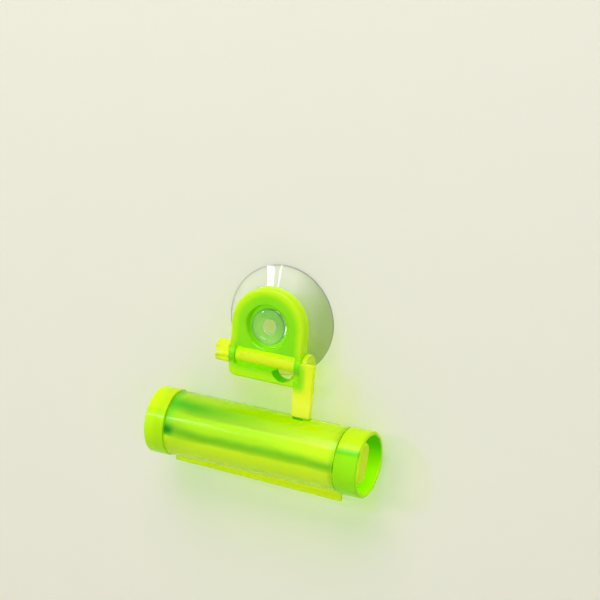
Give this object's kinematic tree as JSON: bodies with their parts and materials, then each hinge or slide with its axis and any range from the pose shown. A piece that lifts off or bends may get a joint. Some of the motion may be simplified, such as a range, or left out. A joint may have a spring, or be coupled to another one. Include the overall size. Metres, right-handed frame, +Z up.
{
  "type": "toothpaste tube squeezer",
  "caption": "Suction-cup tube squeezer: a knob turns a slotted roller inside a barrel that swings from an arched bracket on the wall.",
  "frame": {"origin": "centre of the suction cup on the wall plane, where the cup holds the part up", "axes": "+X along the barrel towards the knob, +Y into the wall along the cup's axis, +Z up the wall"},
  "size_m": [0.0829, 0.0246, 0.077],
  "materials": {
    "clear_pvc": "clear soft PVC, glossy",
    "green_plastic": "see-through lime green, glossy",
    "yellow_green_plastic": "see-through yellow green, glossy",
    "deep_green_plastic": "see-through green, satin"
  },
  "bodies": {
    "wall_cup": {"suction_cup": "clear_pvc"},
    "bracket": {"hanger_bracket": "green_plastic"},
    "squeezer": {"hanger_arm": "yellow_green_plastic", "barrel_shell": "green_plastic", "left_end_cap": "green_plastic"},
    "winder": {"winding_roller": "deep_green_plastic", "turning_knob": "green_plastic"}
  },
  "joints": [
    {"name": "bracket_swivel", "type": "hinge", "parent": "wall_cup", "child": "bracket", "pos_m": [0, 0, 0], "axis": [0, 1, 0], "continuous": true},
    {"name": "arm_hinge", "type": "hinge", "parent": "bracket", "child": "squeezer", "pos_m": [0, -0.009, -0.0123], "axis": [-1, 0, 0], "range_deg": [-0.8, 90]},
    {"name": "knob_turn", "type": "hinge", "parent": "squeezer", "child": "winder", "pos_m": [0, -0.0126, -0.0415], "axis": [1, 0, 0], "continuous": true}
  ]
}
